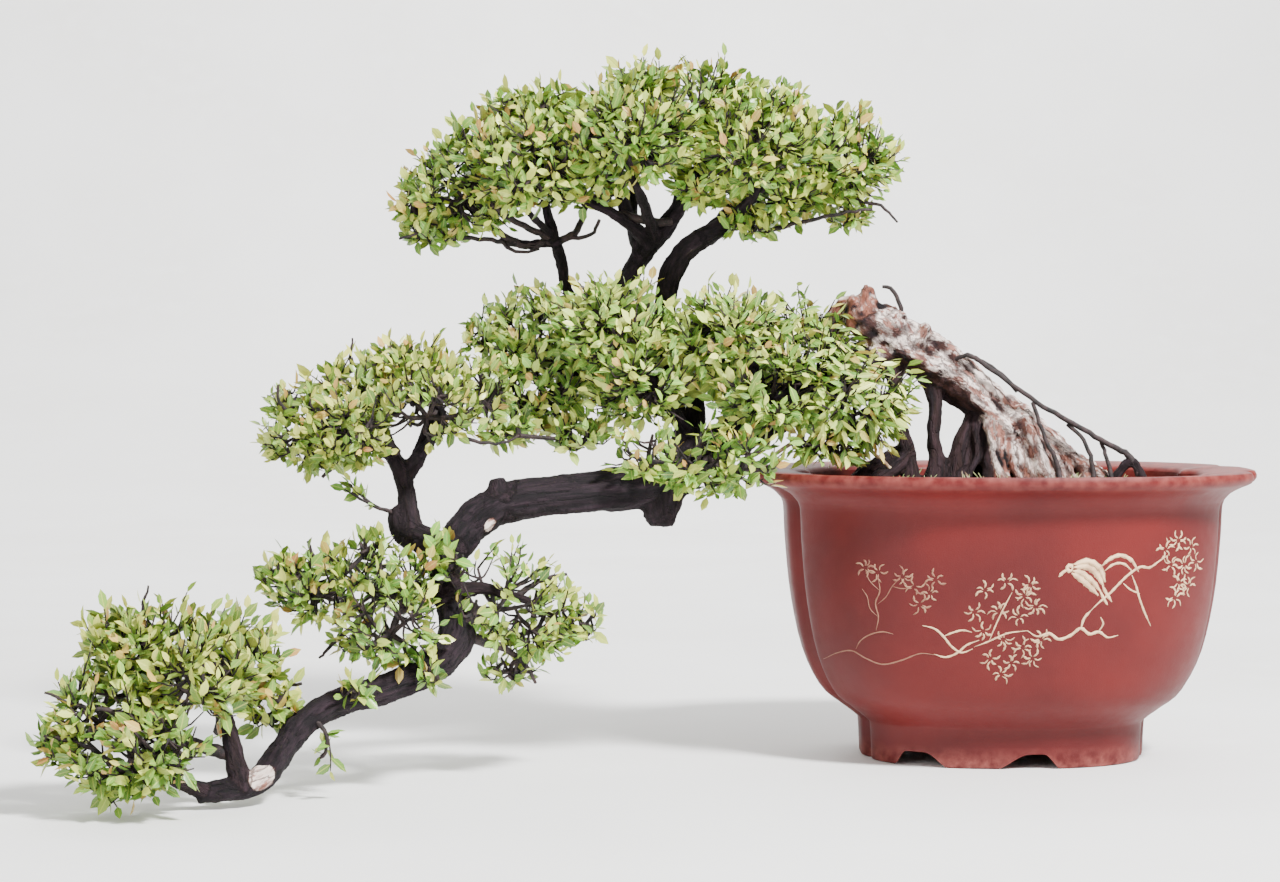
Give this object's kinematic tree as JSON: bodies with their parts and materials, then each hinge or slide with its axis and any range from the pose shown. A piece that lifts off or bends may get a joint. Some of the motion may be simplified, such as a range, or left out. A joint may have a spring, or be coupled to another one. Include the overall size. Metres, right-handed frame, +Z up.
{
  "type": "sweet plum bonsai",
  "caption": "Semi-cascade sweet plum bonsai: a leaning trunk on exposed roots, a falling limb, leafy pads on thin stems, in a lobed red-clay pot filled with soil.",
  "frame": {"origin": "bottom centre of the whole plant's bounding box, on the surface that the pot stands on", "axes": "+X along the pot's long side from the cascade's tip towards the pot, +Z up, the viewer of the front stands at -Y"},
  "size_m": [0.6334, 0.369, 0.3906],
  "materials": {
    "clay": "satin",
    "net": "matte",
    "soil": "matte",
    "bark": "matte",
    "leaf": "satin",
    "young_leaf": "satin"
  },
  "bodies": {
    "root": {"pot": "clay", "drainage_net": "net", "soil": "soil", "wood": "bark", "foliage_crown": "leaf", "foliage_middle": "leaf", "foliage_middle_low": "leaf", "foliage_left": "young_leaf", "foliage_lower_left": "leaf", "foliage_lower_right": "leaf", "foliage_tip_upper": "young_leaf", "foliage_tip_lower": "leaf", "sprig_on_arm": "leaf", "sprig_under_limb": "leaf"}
  },
  "joints": []
}
